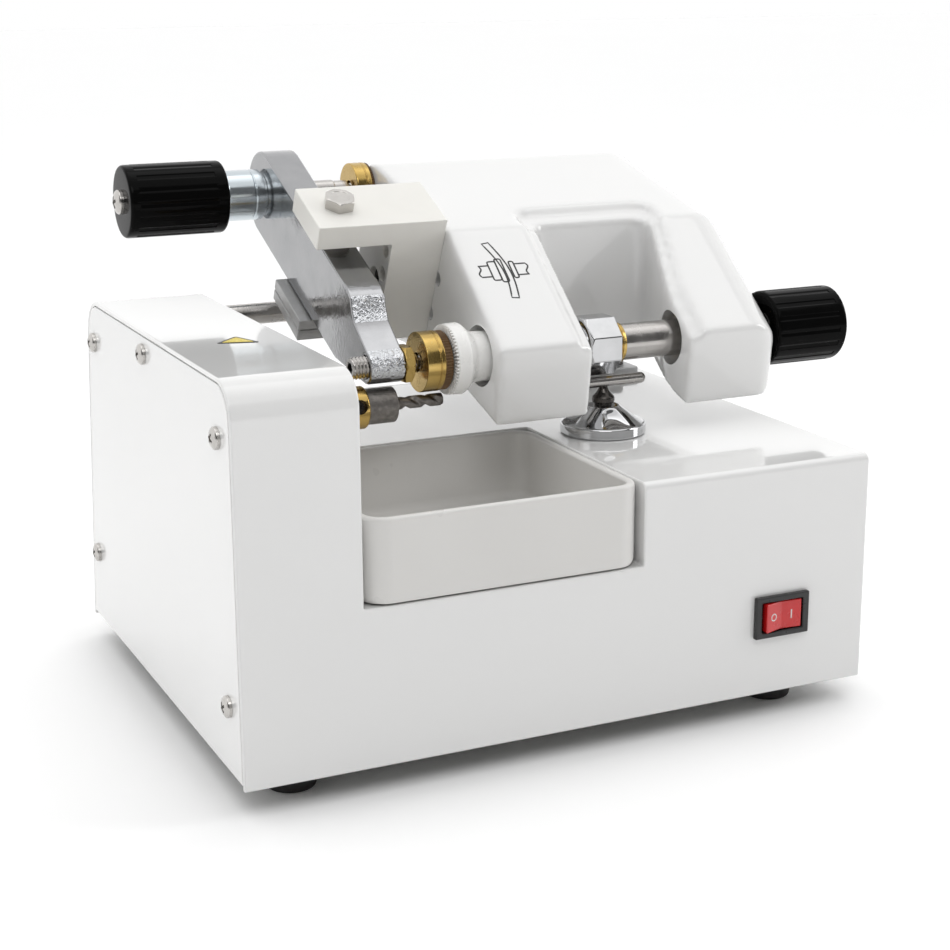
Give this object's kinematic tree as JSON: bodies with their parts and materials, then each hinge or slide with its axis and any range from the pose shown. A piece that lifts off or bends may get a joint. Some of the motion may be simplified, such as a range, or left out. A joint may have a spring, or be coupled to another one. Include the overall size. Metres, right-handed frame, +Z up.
{
  "type": "lens cutting and milling machine",
  "caption": "Bench machine that mills spectacle lenses to shape: white base with tray and cutter, swinging head with lens shaft, chrome clamp lever and fluted knobs.",
  "frame": {"origin": "middle of the machine's outline, on the surface it stands on", "axes": "+Z up, -Y towards the operator, +X to the operator's right along the cutter and lens shaft"},
  "size_m": [0.2614, 0.1914, 0.1874],
  "materials": {
    "white_paint": "gloss white powder coat",
    "zinc": "bright zinc",
    "plate": "satin grey-white",
    "rubber": "matte black",
    "label": "plain yellow label",
    "black_plastic": "gloss black",
    "red_plastic": "gloss red",
    "motor_steel": "dark grey",
    "grey_cast": "matte grey",
    "steel": "turned steel",
    "dark_steel": "dark heat-treated steel",
    "brass": "turned brass",
    "tray_plastic": "warm off-white",
    "white_plastic": "white acetal",
    "chrome": "polished chrome",
    "cream_paint": "satin cream",
    "leather": "knurled pad"
  },
  "bodies": {
    "base": {"base_shell": "white_paint", "side_cover": "white_paint", "side_cover_screws": "zinc", "bottom_plate": "plate", "rubber_feet": "rubber", "foot_screws": "zinc", "blank_label": "label", "switch_housing": "black_plastic", "power_inlet": "black_plastic", "inlet_screws": "zinc", "motor_body": "motor_steel", "motor_bracket": "zinc", "motor_screws": "zinc", "drive_belt": "rubber", "spindle_housing": "grey_cast", "spindle_bearings": "steel", "pivot_rod": "steel", "pivot_rod_block": "grey_cast", "pivot_post": "grey_cast", "pivot_post_screws": "dark_steel", "pivot_collars": "steel"},
    "rocker": {"switch_rocker": "red_plastic"},
    "tray": {"swarf_tray": "tray_plastic"},
    "spindle": {"spindle_shaft": "steel", "spindle_pulley": "grey_cast", "cutter_collar": "brass", "collar_set_screw": "dark_steel", "cutter_bush": "dark_steel", "milling_cutter": "dark_steel"},
    "rotor": {"motor_shaft": "steel", "motor_pulley": "grey_cast"},
    "dial": {"size_dial": "chrome"},
    "tracer": {"tracer_cone": "dark_steel", "tracer_pin": "steel"},
    "head": {"head_casting": "white_paint", "pivot_bushes": "brass", "shaft_bushes": "brass", "lever_bracket": "cream_paint", "fulcrum_plate": "grey_cast", "bracket_screws": "dark_steel", "fulcrum_bolt": "steel", "fulcrum_spacer": "zinc"},
    "lens_spindle": {"lens_shaft": "steel", "chuck_cup": "white_plastic", "pattern_hub": "chrome", "pattern_collar": "chrome", "pattern_ring": "brass", "turning_knob": "black_plastic"},
    "lever": {"clamp_lever": "chrome", "clamp_screw": "steel", "clamp_lock_nut": "brass", "knob_sleeve": "zinc"},
    "clamp_swivel": {"clamp_ball": "steel"},
    "clamp_foot": {"clamp_disc": "brass", "clamp_pad": "leather"},
    "push_slider": {"push_ball": "steel"},
    "knob": {"clamp_knob": "black_plastic", "push_screw": "steel"},
    "push_foot": {"push_disc": "brass", "push_pad": "leather"}
  },
  "joints": [
    {"name": "rocker_tilt", "type": "hinge", "parent": "base", "child": "rocker", "pos_m": [0.0667, -0.0924, 0.0376], "axis": [0, 0, -1], "range_deg": [0, 12]},
    {"name": "tray_slide", "type": "slide", "parent": "base", "child": "tray", "axis": [0, -1, 0], "range_m": [0, 0.09]},
    {"name": "spindle_turn", "type": "hinge", "parent": "base", "child": "spindle", "pos_m": [-0.0783, -0.0232, 0.1096], "axis": [1, 0, 0], "continuous": true},
    {"name": "motor_turn", "type": "hinge", "parent": "base", "child": "rotor", "pos_m": [-0.0783, 0.0356, 0.051], "axis": [1, 0, 0], "continuous": true},
    {"name": "dial_turn", "type": "hinge", "parent": "base", "child": "dial", "pos_m": [0.0342, -0.0232, 0.093], "axis": [0, 0, 1], "range_deg": [-270, 90]},
    {"name": "tracer_lift", "type": "slide", "parent": "base", "child": "tracer", "axis": [0, 0, 1], "range_m": [-0.00075, 0.00025]},
    {"name": "head_swing", "type": "hinge", "parent": "base", "child": "head", "pos_m": [0.0417, 0.0636, 0.1286], "axis": [-1, 0, 0], "range_deg": [0, 50]},
    {"name": "lens_turn", "type": "hinge", "parent": "head", "child": "lens_spindle", "pos_m": [0.0417, -0.0232, 0.1234], "axis": [1, 0, 0], "continuous": true},
    {"name": "lever_swing", "type": "hinge", "parent": "head", "child": "lever", "pos_m": [-0.0518, 0.0271, 0.14686], "axis": [0, 0.4226, -0.9063], "range_deg": [0, 8]},
    {"name": "clamp_tilt", "type": "hinge", "parent": "lever", "child": "clamp_swivel", "pos_m": [-0.0364, -0.0232, 0.1234], "axis": [0, 0.4226, -0.9063], "range_deg": [-8, 0]},
    {"name": "clamp_spin", "type": "hinge", "parent": "clamp_swivel", "child": "clamp_foot", "pos_m": [-0.0364, -0.0232, 0.1234], "axis": [1, 0, 0], "continuous": true},
    {"name": "push_advance", "type": "slide", "parent": "lever", "child": "push_slider", "axis": [-1, 0, 0], "range_m": [0, 0.00813]},
    {"name": "knob_turn", "type": "hinge", "parent": "push_slider", "child": "knob", "pos_m": [-0.0883, 0.07967, 0.17137], "axis": [1, 0, 0], "range_deg": [0, 2340]},
    {"name": "push_tilt", "type": "hinge", "parent": "push_slider", "child": "push_foot", "pos_m": [-0.0201, 0.07967, 0.17137], "axis": [0, 0.4226, -0.9063], "range_deg": [-8, 0]}
  ],
  "couplings": [
    {"joint": "spindle_turn", "follows": "motor_turn", "ratio": 0.66667},
    {"joint": "tracer_lift", "follows": "dial_turn", "m_per_rad": 0.00015915},
    {"joint": "lever_swing", "follows": "knob_turn", "ratio": 0.0034188},
    {"joint": "clamp_tilt", "follows": "knob_turn", "ratio": -0.0034188},
    {"joint": "push_tilt", "follows": "knob_turn", "ratio": -0.0034188},
    {"joint": "push_advance", "follows": "knob_turn", "m_per_rad": 0.00019894}
  ]
}
